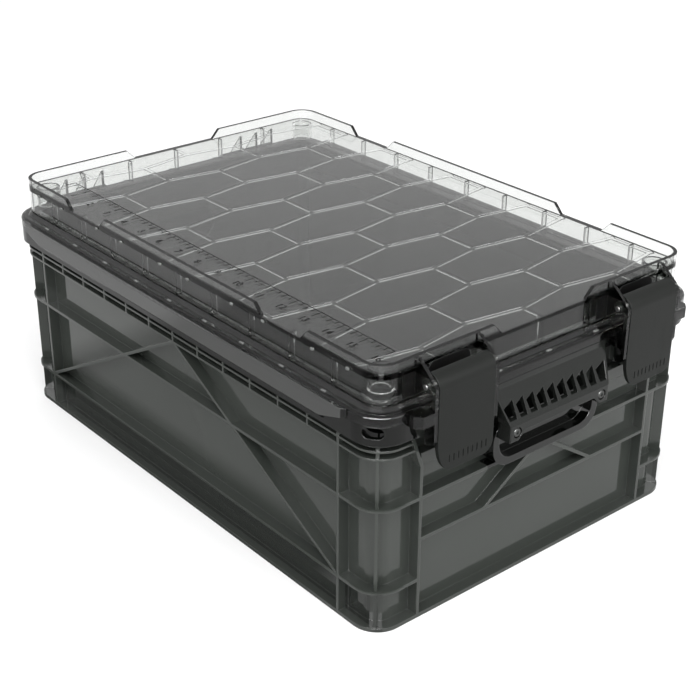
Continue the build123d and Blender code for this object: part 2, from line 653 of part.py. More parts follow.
    # ears that carry the latch pins: long plates from the rim down past the skirt
    for side in (-1, 1):
        for hand in (-1, 1):
            ear_middle = side * LATCH_Y + hand * (LATCH_WIDTH / 2 + EAR_GAP + EAR / 2)
            with BuildSketch(Plane.XZ.offset(ear_middle)):
                Polygon(
                    (HALF_LENGTH - LID_WALL_IN - LID_SKIN / 2, RIM_TOP),
                    (HALF_LENGTH - LID_WALL_IN + EAR_TOP_OUT, RIM_TOP),
                    (EAR_KNEE_X, EAR_KNEE_Z),
                    (EAR_FRONT_X, EAR_SHOULDER_Z),
                    (EAR_FRONT_X, EAR_CORNER_Z),
                    (EAR_FRONT_X - EAR / 2, EAR_CORNER_Z - EAR),
                    (EAR_REAR_X, EAR_BOTTOM),
                    (EAR_REAR_X, FLANGE_UNDER),
                    (HALF_LENGTH - LID_WALL_IN - LID_SKIN / 2, FLANGE_UNDER),
                    align=None,
                )
            extrude(amount=EAR / 2, both=True)
    with BuildSketch(Plane.XZ):
        with Locations((PIN_X, PIN_Z)):
            Circle(PIN_RADIUS + BORE_GAP)
    extrude(amount=HALF_WIDTH, both=True, mode=Mode.SUBTRACT)

    # fins behind: sloping webs from high on the wall down to an eye round each hinge pin
    wall_x = HALF_LENGTH - LID_WALL_IN
    slope_length = hypot(hinge_x - wall_x, FIN_TOP - HINGE_Z)
    touch = atan2(FIN_TOP - HINGE_Z, wall_x - hinge_x) - acos(HINGE_EYE / slope_length)
    for side in (-1, 1):
        for fin_y in centred(FINS, FIN_PITCH):
            with BuildSketch(Plane.XZ.offset(side * LATCH_Y + fin_y)):
                Polygon(
                    (-(wall_x - LID_SKIN / 2), FIN_TOP),
                    (-wall_x, FIN_TOP),
                    (-(hinge_x + HINGE_EYE * cos(touch)), HINGE_Z + HINGE_EYE * sin(touch)),
                    (-hinge_x, HINGE_Z),
                    (-(HALF_LENGTH + LID_SKIRT_OUT - LID_SKIN / 2), HINGE_Z),
                    (-(HALF_LENGTH + LID_SKIRT_OUT - LID_SKIN / 2), FLANGE_UNDER),
                    (-(wall_x - LID_SKIN / 2), FLANGE_UNDER),
                    align=None,
                )
                with Locations((-hinge_x, HINGE_Z)):
                    Circle(HINGE_EYE)
            extrude(amount=FIN / 2, both=True)
    with BuildSketch(Plane.XZ):
        with Locations((-hinge_x, HINGE_Z)):
            Circle(PIN_RADIUS + 2 * BORE_GAP)
    extrude(amount=HALF_WIDTH, both=True, mode=Mode.SUBTRACT)

lid.part.label = "lid"
export_step(lid.part, "parts/lid.step")

# Seal: a plain ring between the crate's rim and the seat in the lid
with BuildPart() as lid_seal:
    with BuildSketch(Plane.XY.offset(SEAL_RIM_TOP)):
        outline(-SEAL_OUT)
        inner_outline(-SEAL_OUT - SEAL_WIDTH)
    extrude(amount=FLANGE_TOP - SEAL_RIM_TOP)
lid_seal.part.label = "lid_seal"
export_step(lid_seal.part, "parts/lid_seal.step")

# Latch: a plate whose top rolls over the pin, with side cheeks and a hook bead inside
face_x = PIN_X + LATCH_ROLL
with BuildPart() as latch:
    with BuildSketch(Plane.XZ):
        with Locations((PIN_X, PIN_Z)):
            Circle(LATCH_ROLL)
            Circle(LATCH_ROLL - LATCH_SKIN, mode=Mode.SUBTRACT)
        with Locations((PIN_X, PIN_Z)):
            Rectangle(2 * LATCH_ROLL, LATCH_ROLL, align=(Align.CENTER, Align.MAX), mode=Mode.SUBTRACT)
            Rectangle(LATCH_ROLL, 2 * LATCH_ROLL, align=(Align.MAX, Align.CENTER), mode=Mode.SUBTRACT)
        with Locations((face_x, PIN_Z)):
            Rectangle(LATCH_SKIN, PIN_Z - LATCH_BOTTOM, align=(Align.MAX, Align.MAX))
        with Locations((PIN_X, PIN_Z)):
            Rectangle(LATCH_ROLL - OVERLAP, LATCH_SKIN, align=(Align.MIN, Align.CENTER))
            Circle(PIN_RADIUS + LATCH_SKIN)
    extrude(amount=LATCH_WIDTH / 2, both=True)
    # cheeks stiffen both edges of the plate
    cheek_x = face_x - LATCH_SKIN / 2
    for hand in (-1, 1):
        with BuildSketch(Plane.XZ.offset(hand * LATCH_WIDTH / 2)):
            Polygon(
                (cheek_x, PIN_Z),
                (PIN_X + LATCH_ROLL / 2, PIN_Z),
                (PIN_X + LATCH_ROLL / 2, EAR_CORNER_Z),
                (cheek_x, EAR_CORNER_Z - LATCH_SKIN),
                align=None,
            )
        extrude(amount=-hand * LATCH_SKIN)
    # hook bead that closes under the catch
    hook_x = HALF_LENGTH + CATCH_OUT + HOOK_CLEARANCE
    with BuildSketch(Plane.XZ):
        Polygon(
            (cheek_x, HOOK_Z + HOOK_HEIGHT / 2),
            (hook_x, HOOK_Z + HOOK_HEIGHT / 4),
            (hook_x, HOOK_Z - HOOK_HEIGHT / 4),
            (cheek_x, HOOK_Z - HOOK_HEIGHT / 2),
            align=None,
        )
    extrude(amount=CATCH_HALF_WIDTH - LATCH_SKIN, both=True)
    # rounded lower corners
    corner_edges = latch.edges().filter_by(Axis.X).group_by(Axis.Z)[0]
    fillet(corner_edges, radius=LATCH_CORNER)
    with BuildSketch(Plane.XZ):
        with Locations((PIN_X, PIN_Z)):
            Circle(PIN_RADIUS + 2 * BORE_GAP)
    extrude(amount=LATCH_WIDTH, both=True, mode=Mode.SUBTRACT)

# Pin through a latch and the two ears of the lid beside it, and pin through a hinge block
with BuildPart() as latch_pin:
    with BuildSketch(Plane.XZ):
        with Locations((PIN_X, PIN_Z)):
            Circle(PIN_RADIUS)
    extrude(amount=LATCH_WIDTH / 2 + EAR_GAP + EAR + PIN_PROUD, both=True)
    chamfer(latch_pin.edges().filter_by(GeomType.CIRCLE), length=PIN_PROUD)
with BuildPart() as hinge_pin:
    with BuildSketch(Plane.XZ):
        with Locations((-hinge_x, HINGE_Z)):
            Circle(PIN_RADIUS)
    extrude(amount=HINGE_HALF_WIDTH + PIN_PROUD, both=True)
    chamfer(hinge_pin.edges().filter_by(GeomType.CIRCLE), length=PIN_PROUD)

# Handle: a hooded grip with a row of pointed windows, held by two screws
handle_x = HALF_LENGTH + HANDLE_OUT
panel_x = HALF_LENGTH + COLLAR_OUT
with BuildPart() as handle_hollow:
    with BuildSketch(Plane.XZ):
        Polygon(
            (panel_x - 2 * HANDLE_SKIN, SLOPE_TOP_Z - HANDLE_SKIN),
            (panel_x - HANDLE_SKIN, SLOPE_TOP_Z - HANDLE_SKIN),
            (handle_x - HANDLE_SKIN, SLOPE_LOW_Z - HANDLE_SKIN / 2),
            (handle_x - HANDLE_SKIN, LUG_BOTTOM - OVERLAP),
            (panel_x - 2 * HANDLE_SKIN, LUG_BOTTOM - OVERLAP),
            align=None,
        )
    extrude(amount=HANDLE_TOP_HALF, both=True)
    with BuildSketch(Plane.YZ):
        Polygon(
            (-(HANDLE_LOW_HALF - HANDLE_SKIN), LUG_BOTTOM - OVERLAP),
            (HANDLE_LOW_HALF - HANDLE_SKIN, LUG_BOTTOM - OVERLAP),
            (HANDLE_LOW_HALF - HANDLE_SKIN, SLOPE_LOW_Z),
            (HANDLE_TOP_HALF - 2 * HANDLE_SKIN, SLOPE_TOP_Z),
            (-(HANDLE_TOP_HALF - 2 * HANDLE_SKIN), SLOPE_TOP_Z),
            (-(HANDLE_LOW_HALF - HANDLE_SKIN), SLOPE_LOW_Z),
            align=None,
        )
    extrude(amount=2 * HALF_LENGTH, mode=Mode.INTERSECT)
    with BuildSketch(Plane.YZ.offset(HALF_LENGTH)):
        for side in (-1, 1):
            Polygon(
                (side * (LUG_INNER_Y - LUG_SKIN), LUG_BOTTOM - OVERLAP),
                (side * (LUG_INNER_Y - LUG_SKIN), SLOPE_LOW_Z),
                (side * HANDLE_LOW_HALF, SLOPE_LOW_Z),
                (side * HANDLE_LOW_HALF, LUG_BOTTOM - OVERLAP),
                align=None,
            )
    extrude(amount=2 * HANDLE_OUT, mode=Mode.SUBTRACT)

with BuildPart() as handle:
    with BuildSketch(Plane.XZ):
        Polygon(
            (panel_x - HANDLE_SKIN, HANDLE_TOP),
            (panel_x, HANDLE_TOP),
            (panel_x, SLOPE_TOP_Z),
            (handle_x, SLOPE_LOW_Z),
            (handle_x, LUG_BOTTOM),
            (panel_x, LUG_BOTTOM),
            (panel_x, COLLAR_BOTTOM + COLLAR_BEVEL),
            (panel_x - HANDLE_SKIN, COLLAR_BOTTOM + COLLAR_BEVEL),
            align=None,
        )
    extrude(amount=HANDLE_TOP_HALF, both=True)
    with BuildSketch(Plane.YZ):
        Polygon(
            (-HANDLE_LOW_HALF, LUG_BOTTOM),
            (-LUG_INNER_Y, LUG_BOTTOM),
            (-LUG_INNER_Y + GRIP_BOTTOM - LUG_BOTTOM, GRIP_BOTTOM),
            (LUG_INNER_Y - GRIP_BOTTOM + LUG_BOTTOM, GRIP_BOTTOM),
            (LUG_INNER_Y, LUG_BOTTOM),
            (HANDLE_LOW_HALF, LUG_BOTTOM),
            (HANDLE_LOW_HALF, SLOPE_LOW_Z),
            (HANDLE_TOP_HALF - HANDLE_FLARE, SLOPE_TOP_Z),
            (HANDLE_TOP_HALF, HANDLE_TOP),
            (-HANDLE_TOP_HALF, HANDLE_TOP),
            (HANDLE_FLARE - HANDLE_TOP_HALF, SLOPE_TOP_Z),
            (-HANDLE_LOW_HALF, SLOPE_LOW_Z),
            align=None,
        )
    extrude(amount=2 * HALF_LENGTH, mode=Mode.INTERSECT)
    fillet(handle.faces().sort_by(Axis.X)[-1].edges(), radius=HANDLE_ROUND)
    add(handle_hollow.part, mode=Mode.SUBTRACT)

    # windows through the slope, their tops slanting up to one side; the two outer ones lean out
    with BuildSketch(Plane.YZ.offset(panel_x)):
        for step, window_y in enumerate(centred(WINDOWS, WINDOW_PITCH)):
            edge_y = window_y + WINDOW_WIDTH / 2
            low_left = edge_y - WINDOW_WIDTH
            high_left = low_left - WINDOW_LEAN
            high_right = edge_y
            if step == 0:
                low_left = -HANDLE_LOW_HALF + WINDOW_RIM / 2
                high_left = low_left - END_WINDOW_LEAN
            if step == WINDOWS - 1:
                high_right = edge_y + END_WINDOW_LEAN
            Polygon(
                (edge_y, WINDOW_BOTTOM),
                (high_right, WINDOW_TIP),
                (high_left, WINDOW_LEFT_TOP),
                (low_left, WINDOW_BOTTOM),
                align=None,
            )
    extrude(amount=-HANDLE_OUT, both=True, mode=Mode.SUBTRACT)

    # clearance hole and head recess for each screw
    with BuildSketch(Plane.YZ.offset(handle_x)):
        with Locations((-SCREW_Y, SCREW_Z), (SCREW_Y, SCREW_Z)):
            Circle(SCREW_HEAD_RADIUS + SCREW_HEAD_GAP)
    extrude(amount=-SCREW_HEAD_HEIGHT, mode=Mode.SUBTRACT)
    with BuildSketch(Plane.YZ.offset(handle_x)):
        with Locations((-SCREW_Y, SCREW_Z), (SCREW_Y, SCREW_Z)):
            Circle(SCREW_RADIUS + CLOSE_GAP)
    extrude(amount=-HANDLE_OUT, mode=Mode.SUBTRACT)

# Button-head screws of one handle, each with a hexagon socket
with BuildPart() as screws:
    with BuildSketch(Plane.YZ.offset(handle_x - SCREW_HEAD_HEIGHT)):
        with Locations((-SCREW_Y, SCREW_Z), (SCREW_Y, SCREW_Z)):
            Circle(SCREW_HEAD_RADIUS)
    extrude(amount=SCREW_HEAD_HEIGHT)
    fillet(screws.faces().sort_by(Axis.X)[-2:].edges(), radius=SCREW_HEAD_ROUND)
    with BuildSketch(Plane.YZ.offset(handle_x)):
        with Locations((-SCREW_Y, SCREW_Z), (SCREW_Y, SCREW_Z)):
            RegularPolygon(SCREW_SOCKET, 6)
    extrude(amount=-SCREW_SOCKET_DEPTH, mode=Mode.SUBTRACT)
    with BuildSketch(Plane.YZ.offset(handle_x - SCREW_HEAD_HEIGHT)):
        with Locations((-SCREW_Y, SCREW_Z), (SCREW_Y, SCREW_Z)):
            Circle(SCREW_RADIUS)
    extrude(amount=-(HANDLE_OUT - COLLAR_OUT - SCREW_HEAD_HEIGHT + SCREW_HOLE_DEPTH - OVERLAP))

# The near end is the front. Both ends have a handle, and the rear one is turned half round.
for end_name, turn in (("front", 0), ("rear", 180)):
    for piece_name, piece in (("handle", handle), ("handle_screws", screws)):
        with BuildPart() as placed:
            add(piece.part, rotation=(0, 0, turn))
        placed.part.label = f"{end_name}_{piece_name}"
        export_step(placed.part, f"parts/{end_name}_{piece_name}.step")

# Left and right are as seen by someone who faces the front
for hand_name, place_y in (("left", -LATCH_Y), ("right", LATCH_Y)):
    for piece_name, piece in (
        ("front_" + hand_name + "_latch", latch),
        ("front_" + hand_name + "_latch_pin", latch_pin),
        ("rear_" + hand_name + "_hinge_pin", hinge_pin),
    ):
        with BuildPart() as placed:
            add(piece.part.moved(Location((0, place_y, 0))))
        placed.part.label = piece_name
        export_step(placed.part, f"parts/{piece_name}.step")
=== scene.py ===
import math

import bmesh
import bpy
from mathutils import Matrix, Vector


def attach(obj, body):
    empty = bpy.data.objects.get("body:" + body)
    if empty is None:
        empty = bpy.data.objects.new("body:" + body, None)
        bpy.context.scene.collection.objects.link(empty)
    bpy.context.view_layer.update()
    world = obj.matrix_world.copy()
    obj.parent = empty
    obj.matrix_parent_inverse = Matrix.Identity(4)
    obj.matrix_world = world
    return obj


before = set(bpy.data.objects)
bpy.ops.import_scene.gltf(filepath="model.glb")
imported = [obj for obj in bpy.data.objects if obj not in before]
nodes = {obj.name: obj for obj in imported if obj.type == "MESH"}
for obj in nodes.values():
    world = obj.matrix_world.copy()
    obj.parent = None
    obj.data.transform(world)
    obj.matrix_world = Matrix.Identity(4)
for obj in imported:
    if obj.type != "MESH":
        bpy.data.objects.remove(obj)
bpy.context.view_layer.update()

scene = bpy.context.scene
MM = 0.001

# Sizes shared with the crate. Sizes are in millimetres where nothing else is said.
HALF_LENGTH = 233.0
HALF_WIDTH = 156.0
CORNER_RADIUS = 21.0
PLATE_TOP = 195.9
FLANGE_UNDER = 168.5
FLANGE_TOP = 171.5
LID_WALL_IN = 4.7
LID_SKIN = 3.0
WALL_X = HALF_LENGTH - LID_WALL_IN
WALL_Y = HALF_WIDTH - LID_WALL_IN
LEDGES = (32.0, 98.0)
RIB_PITCH_X = 45.15
RIB_PITCH_Y = 48.3
RIBS_ALONG = 9
RIBS_ACROSS = 5
LATCH_Y = 92.3
LATCH_FACE_X = 249.0
LATCH_HALF_WIDTH = 25.3
LATCH_BOTTOM = 124.4
LATCHES = {"front_left_latch": -LATCH_Y, "front_right_latch": LATCH_Y}


# Camera at the photograph's place: its three axes, and its place in metres
CAMERA_RIGHT = (0.64226, 0.76647, 0.00552)
CAMERA_UP = (-0.34867, 0.28573, 0.89263)
CAMERA_BACK = (0.68260, -0.57522, 0.45076)
CAMERA_PLACE = (0.8244, -0.6770, 0.6194)
SENSOR_WIDTH = 36.0
FOCAL_LENGTH = 74.20

camera_data = bpy.data.cameras.new("camera")
camera = bpy.data.objects.new("camera", camera_data)
scene.collection.objects.link(camera)
camera_data.sensor_width = SENSOR_WIDTH
camera_data.lens = FOCAL_LENGTH
rows = zip(CAMERA_RIGHT, CAMERA_UP, CAMERA_BACK, CAMERA_PLACE)
camera.matrix_world = Matrix((*rows, (0, 0, 0, 1)))
scene.camera = camera
scene.view_settings.view_transform = "Standard"


# Materials
WHITE = (1.0, 1.0, 1.0)
BLACK = (0.0, 0.0, 0.0)
SOFT_EDGE = 0.7


class Look:
    """A material with its node tree, its main shader and short calls to add nodes."""

    def __init__(self, name):
        self.material = bpy.data.materials.new(name)
        self.material.use_nodes = True
        self.tree = self.material.node_tree
        self.shader = self.tree.nodes["Principled BSDF"]
        self.place = self.add("ShaderNodeTexCoord").outputs["Object"]

    def add(self, kind, **settings):
        node = self.tree.nodes.new(kind)
        for key, value in settings.items():
            setattr(node, key, value)
        return node

    def put(self, node, key, value):
        """Link a socket to this input, or give the input a plain value."""
        if isinstance(value, bpy.types.NodeSocket):
            self.tree.links.new(value, node.inputs[key])
        else:
            node.inputs[key].default_value = value

    def surface(self, key, value):
        self.put(self.shader, key, value)

    def noise(self, scale, detail=2.0, stretch=None):
        """Cloudy noise, with its scale per metre."""
        place = self.place
        if stretch:
            mapping = self.add("ShaderNodeMapping")
            self.put(mapping, "Vector", place)
            mapping.inputs["Scale"].default_value = stretch
            place = mapping.outputs["Vector"]
        node = self.add("ShaderNodeTexNoise")
        self.put(node, "Scale", scale)
        self.put(node, "Detail", detail)
        self.put(node, "Vector", place)
        return node.outputs["Fac"]

    def ramp(self, value, places, results, smooth=False):
        """From one result to the other, while the value goes from one place to the other."""
        node = self.add("ShaderNodeMapRange")
        if smooth:
            node.interpolation_type = "SMOOTHSTEP"
        for key, number in zip(("From Min", "From Max", "To Min", "To Max"), (*places, *results)):
            self.put(node, key, number)
        self.put(node, "Value", value)
        return node.outputs["Result"]

    def above(self, value, places, smooth=False):
        """0 up to the first place and 1 from the second on. The places are in millimetres."""
        return self.ramp(value, [place * MM for place in places], (0.0, 1.0), smooth)

    def below(self, value, places):
        """1 up to the first place and 0 from the second on. The places are in millimetres."""
        return self.ramp(value, [place * MM for place in places], (1.0, 0.0))

    def maths(self, operation, a, b=0.0):
        node = self.add("ShaderNodeMath", operation=operation)
        self.put(node, 0, a)
        self.put(node, 1, b)
        return node.outputs["Value"]

    def times(self, value, *others):
        for other in others:
            value = self.maths("MULTIPLY", value, other)
        return value

    def most(self, value, *others):
        for other in others:
            value = self.maths("MAXIMUM", value, other)
        return value

    def mix(self, amount, first, second):
        node = self.add("ShaderNodeMix", data_type="RGBA")
        self.put(node, "Factor", amount)
        for key, colour in ((6, first), (7, second)):
            linked = isinstance(colour, bpy.types.NodeSocket)
            self.put(node, key, colour if linked else (*colour, 1.0))
        return node.outputs[2]

    def scaled(self, colour, amount):
        node = self.add("ShaderNodeVectorMath", operation="SCALE")
        self.put(node, 0, colour)
        self.put(node, "Scale", amount)
        return node.outputs["Vector"]

    def split_place(self):
        node = self.add("ShaderNodeSeparateXYZ")
        self.put(node, "Vector", self.place)
        return node.outputs["X"], node.outputs["Y"], node.outputs["Z"]

    def facing_up(self):
        """1 where the surface faces up, 0 where it is upright and -1 where it faces down."""
        node = self.add("ShaderNodeSeparateXYZ")
        self.put(node, "Vector", self.add("ShaderNodeNewGeometry").outputs["Normal"])
        return node.outputs["Z"]

    def rounded(self, radius):
        """The surface normal with every sharp edge softened to this radius."""
        node = self.add("ShaderNodeBevel", samples=4)
        self.put(node, "Radius", radius * MM)
        return node.outputs["Normal"]

    def edge(self, soft_normal, places):
        """1 at the sharp edges of the surface, 0 away from them."""
        true_normal = self.add("ShaderNodeNewGeometry").outputs["Normal"]
        dot = self.add("ShaderNodeVectorMath", operation="DOT_PRODUCT")
        self.put(dot, 0, soft_normal)
        self.put(dot, 1, true_normal)
        return self.ramp(dot.outputs["Value"], places, (1.0, 0.0))

    def bump(self, height, distance, strength, normal=None):
        node = self.add("ShaderNodeBump")
        self.put(node, "Strength", strength)
        self.put(node, "Distance", distance * MM)
        self.put(node, "Height", height)
        if normal is not None:
            self.put(node, "Normal", normal)
        return node.outputs["Normal"]


# Places where the crate's looks change. CORNER places are sums of the distances out along X and Y,
# and FOOT places are heights over a ledge.
COLLAR_Z = (146.5, 147.5)
HAND_RING_X = (224.3, 224.7)
HAND_RING_Y = (53.5, 54.0)
HAND_RING_Z = (96.0, 96.4)
RAIL_Y = (163.2, 163.8)
RAIL_Z = (157.6, 158.0)
TEETH_Y = (160.2, 160.4)
TEETH_Z = (169.1, 169.4)
TEETH_PITCH = 1.6
TEETH_SLOPE = 0.02
INSIDE_X = (222.6, 223.0)
INSIDE_Y = (145.6, 146.0)
INSIDE_CORNER = (361.8, 362.4)
INSIDE_Z = (0.5, 1.5)
LOW_BAY_Z = (31.5, 32.5)
LOW_BAY_FROM_Y = (145.5, 146.0)
LOW_BAY_TO_Y = (149.5, 150.5)
BAY_CORNER = (362.0, 363.0)
FOOT_FROM = (0.0, 0.5)
FOOT_TO = (6.5, 10.5)

# Painted shade: the dark colour of the collar, the hand-hold rings and the lowest bays
CRATE_SHADE_COLOUR = (0.002, 0.0024, 0.002)
# Painted highlight: the lighter colour of the rails
RAIL_SHEEN_COLOUR = (0.040, 0.041, 0.040)
# Painted shade: the colour of the gaps between the rail's teeth
TOOTH_GAP_SHADE_COLOUR = (0.002, 0.002, 0.002)
# Painted shade: the darker colour of the crate's inside
INSIDE_SHADE_COLOUR = (0.018, 0.0195, 0.018)
# Painted shade: how far the lowest bays of the long sides are painted towards the dark colour
LOW_BAY_SHADE = 0.45
COLLAR_DULL = 0.45
TEETH_DULL = 0.95


def crate_places(look, base, soft):
    """The colour, normal and specular tint of the crate, which differ from place to place.

    The band round the top and the hand-hold rings are painted darker, a painted shade for their
    duller sheen. The rails are painted lighter, a painted highlight, with fine upright teeth along
    their upper edge and painted shade in the gaps between the teeth. The inside and the lowest bays
    of the long sides hold painted shade too. The foot of each corner bay mirrors nothing, and the
    collar and the teeth mirror less.
    """
    x, y, z = look.split_place()
    out_x, out_y = look.maths("ABSOLUTE", x), look.maths("ABSOLUTE", y)
    out_both = look.maths("ADD", out_x, out_y)

    collar = look.above(z, COLLAR_Z)
    hand_ring = look.times(
        look.above(out_x, HAND_RING_X), look.above(z, HAND_RING_Z), look.below(out_y, HAND_RING_Y))
    # Painted shade: the collar and the hand-hold rings are painted darker for their duller sheen
    base = look.mix(look.most(collar, hand_ring), base, CRATE_SHADE_COLOUR)
    # Painted highlight: the rails' outer faces are painted lighter
    rail = look.times(look.above(out_y, RAIL_Y), collar, look.above(z, RAIL_Z))
    base = look.mix(rail, base, RAIL_SHEEN_COLOUR)

    teeth = look.maths("SINE", look.times(x, 2 * math.pi / (TEETH_PITCH * MM)))
    height = look.maths("SUBTRACT", z, look.times(look.most(x, 0.0), TEETH_SLOPE))
    toothed = look.times(look.above(height, TEETH_Z), look.above(out_y, TEETH_Y))
    # Painted shade in the gaps between the teeth
    gap = look.times(toothed, look.ramp(teeth, (-0.3, 0.3), (1.0, 0.2)))
    base = look.mix(gap, base, TOOTH_GAP_SHADE_COLOUR)
    normal = look.bump(look.times(teeth, toothed), distance=0.2, strength=1.0, normal=soft)

    # Painted shade: the inside of the crate is painted darker
    inside = look.times(
        look.below(out_x, INSIDE_X), look.below(out_y, INSIDE_Y),
        look.below(out_both, INSIDE_CORNER), look.above(z, INSIDE_Z))
    base = look.mix(inside, base, INSIDE_SHADE_COLOUR)
    # Painted shade on the lowest bays of the long sides
    low_bay = look.times(
        look.below(z, LOW_BAY_Z), look.above(out_y, LOW_BAY_FROM_Y),
        look.below(out_y, LOW_BAY_TO_Y), LOW_BAY_SHADE)
    base = look.mix(low_bay, base, CRATE_SHADE_COLOUR)

    dull_collar = look.times(look.maths("SUBTRACT", collar, rail), COLLAR_DULL)
    dull = look.most(dull_collar, look.times(gap, TEETH_DULL))
    corner = look.above(out_both, BAY_CORNER)
    for ledge in LEDGES:
        foot = look.times(
            look.above(z, [ledge + place for place in FOOT_FROM]),
            look.below(z, [ledge + place for place in FOOT_TO]))
        dull = look.most(dull, look.times(corner, foot))
    return base, normal, look.mix(dull, WHITE, BLACK)


def moulded_plastic(name, colour, roughness, specular, places=None):
    """Dark moulded plastic: cloudy colour, uneven gloss, grain, scuffs, and edges painted lighter
    for wear and a painted highlight.
    """
    look = Look(name)
    cloud = look.noise(scale=9.0, detail=4.0)
    base = look.scaled(colour, look.ramp(cloud, (0.0, 1.0), (0.9, 1.1)))
    soft = look.rounded(SOFT_EDGE)
    normal = soft
    if places:
        base, normal, tint = places(look, base, soft)
        look.surface("Specular Tint", tint)
    # The edges are painted lighter: a painted highlight on rounded edges, with some wear
    edge_wear_and_highlight = look.ramp(look.edge(soft, (0.8, 0.995)), (0.0, 1.0), (0.0, 0.3))
    look.surface("Base Color", look.mix(edge_wear_and_highlight, base, [part * 1.5 for part in colour]))
    scuff = look.noise(scale=60.0, detail=6.0, stretch=(1.0, 1.0, 0.25))
    uneven = look.maths(
        "ADD",
        look.ramp(cloud, (0.0, 1.0), (roughness * 0.85, roughness * 1.15)),
        look.ramp(scuff, (0.55, 0.75), (0.0, roughness * 0.3)))
    look.surface("Roughness", uneven)
    grain = look.noise(scale=1500.0)
    look.surface("Normal", look.bump(grain, distance=0.01, strength=0.5, normal=normal))
    look.surface("Specular IOR Level", specular)
    look.surface("IOR", 1.5)
    return look.material


# Places where the lid's looks change
RIM_Z = (196.2, 196.8)
FOOT_Z = (171.6, 172.2)
NEAR_X = (225.0, 225.5)
NEAR_Y = (-147.0, -146.5)
BAND_FROM_Z = (193.0, 193.6)
BAND_TO_Z = (197.5, 199.0)
DULL_Z = (185.0, 186.0)

CLEAR_COLOUR = (0.84, 0.85, 0.84)
# Painted shade: the colour of the lid's dark outlines and of the shade on its near sides
PAINTED_DARK_COLOUR = (0.025, 0.027, 0.025)
ABOVE_BAND_DARK = 0.2
FOOT_DARK = 0.8


def clear_plastic(name):
    """Clear hard plastic: faintly smoky, a little wavy, painted dark where its edges trap the
    light.

    The top of the raised rim and the sharp edges of the rim and the foot are painted dark. On the
    two sides near the camera, a band along the plate's edge and the whole foot hold painted shade
    too.
    """
    look = Look(name)
    x, y, z = look.split_place()
    edge = look.edge(look.rounded(SOFT_EDGE), (0.75, 0.99))
    rim = look.above(z, RIM_Z)
    foot = look.below(z, FOOT_Z)
    rim_top = look.times(rim, look.ramp(look.facing_up(), (0.8, 0.9), (0.0, 1.0)))
    # Painted dark outlines at the rim and foot edges, then painted shade on the near sides
    painted_dark = look.most(look.times(edge, look.most(rim, foot)), rim_top)
    near = look.most(look.below(y, NEAR_Y), look.above(x, NEAR_X))
    upright = look.ramp(look.maths("ABSOLUTE", look.facing_up()), (0.4, 0.6), (1.0, 0.0))
    band_to = [place * MM for place in BAND_TO_Z]
    band = look.times(look.above(z, BAND_FROM_Z), look.ramp(z, band_to, (1.0, ABOVE_BAND_DARK)))
    shaded = look.most(look.times(band, upright), look.times(foot, FOOT_DARK))
    painted_dark = look.most(painted_dark, look.times(shaded, near))
    cloud = look.noise(scale=20.0, detail=3.0)
    clear = look.scaled(CLEAR_COLOUR, look.ramp(cloud, (0.0, 1.0), (0.97, 1.03)))
    look.surface("Base Color", look.mix(painted_dark, clear, PAINTED_DARK_COLOUR))
    dull = look.times(painted_dark, look.above(z, DULL_Z))
    look.surface("Specular Tint", look.mix(dull, WHITE, BLACK))
    smear = look.noise(scale=35.0, detail=5.0)
    look.surface("Roughness", look.ramp(smear, (0.3, 0.8), (0.003, 0.012)))
    look.surface("Transmission Weight", 1.0)
    look.surface("IOR", 1.38)
    look.surface("Specular IOR Level", 0.4)
    flow = look.noise(scale=14.0, detail=1.0)
    look.surface("Normal", look.bump(flow, distance=0.1, strength=0.05))
    return look.material


def metal(name, colour, roughness):
    """Drawn steel with fine lines of wear."""
    look = Look(name)
    lines = look.noise(scale=900.0, detail=3.0, stretch=(1.0, 0.08, 1.0))
    look.surface("Base Color", look.scaled(colour, look.ramp(lines, (0.0, 1.0), (0.88, 1.12))))
    uneven = look.ramp(lines, (0.2, 0.8), (roughness - 0.08, roughness + 0.12))
    look.surface("Roughness", uneven)
    look.surface("Normal", look.bump(lines, distance=0.02, strength=0.4))
    look.surface("Metallic", 1.0)
    return look.material


looks = {
    "crate": moulded_plastic("crate_plastic", (0.034, 0.038, 0.034), 0.045, 0.5, crate_places),
    "handle": moulded_plastic("handle_plastic", (0.009, 0.010, 0.009), 0.14, 0.3),
    "latch": moulded_plastic("latch_plastic", (0.008, 0.009, 0.008), 0.40, 0.15),
    # Painted shade: the black of the sheets behind the latches
    "black": moulded_plastic("shade_sheet_black", (0.004, 0.004, 0.004), 0.35, 0.3),
    "seal": moulded_plastic("seal_rubber", (0.008, 0.008, 0.008), 0.6, 0.3),
    "marks": moulded_plastic("ruler_marks", (0.012, 0.012, 0.012), 0.7, 0.1),
    # Painted glint: the nubs and beads are pale grey
    "nub": moulded_plastic("nub_glint_plastic", (0.14, 0.145, 0.14), 0.15, 0.6),
    "lid": clear_plastic("lid_clear"),
    "pin": metal("pin_steel", (0.13, 0.13, 0.128), 0.3),
    "screw": metal("screw_steel", (0.09, 0.092, 0.09), 0.3),
}
LOOK_OF_LAST_WORD = {"body": "crate", "screws": "screw"}
for name, node in nodes.items():
    last_word = name.rsplit("_", 1)[-1]
    for material_slot in node.material_slots:
        material_slot.material = looks[LOOK_OF_LAST_WORD.get(last_word, last_word)]


# Small pieces in mesh code
def piece(name, fill, body, look):
    """A visible piece from a function that fills its mesh, riding on a body."""
    made = bpy.data.objects.new(name, filled_mesh(name, fill))
    scene.collection.objects.link(made)
    made.data.materials.append(looks[look])
    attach(made, body)


def filled_mesh(name, fill):
    """A mesh in metres from a function that fills a bmesh in millimetres."""
    work = bmesh.new()
    fill(work)
    bmesh.ops.scale(work, vec=(MM, MM, MM), verts=work.verts)
    bmesh.ops.recalc_face_normals(work, faces=work.faces)
    mesh = bpy.data.meshes.new(name)
    work.to_mesh(mesh)
    work.free()
    return mesh


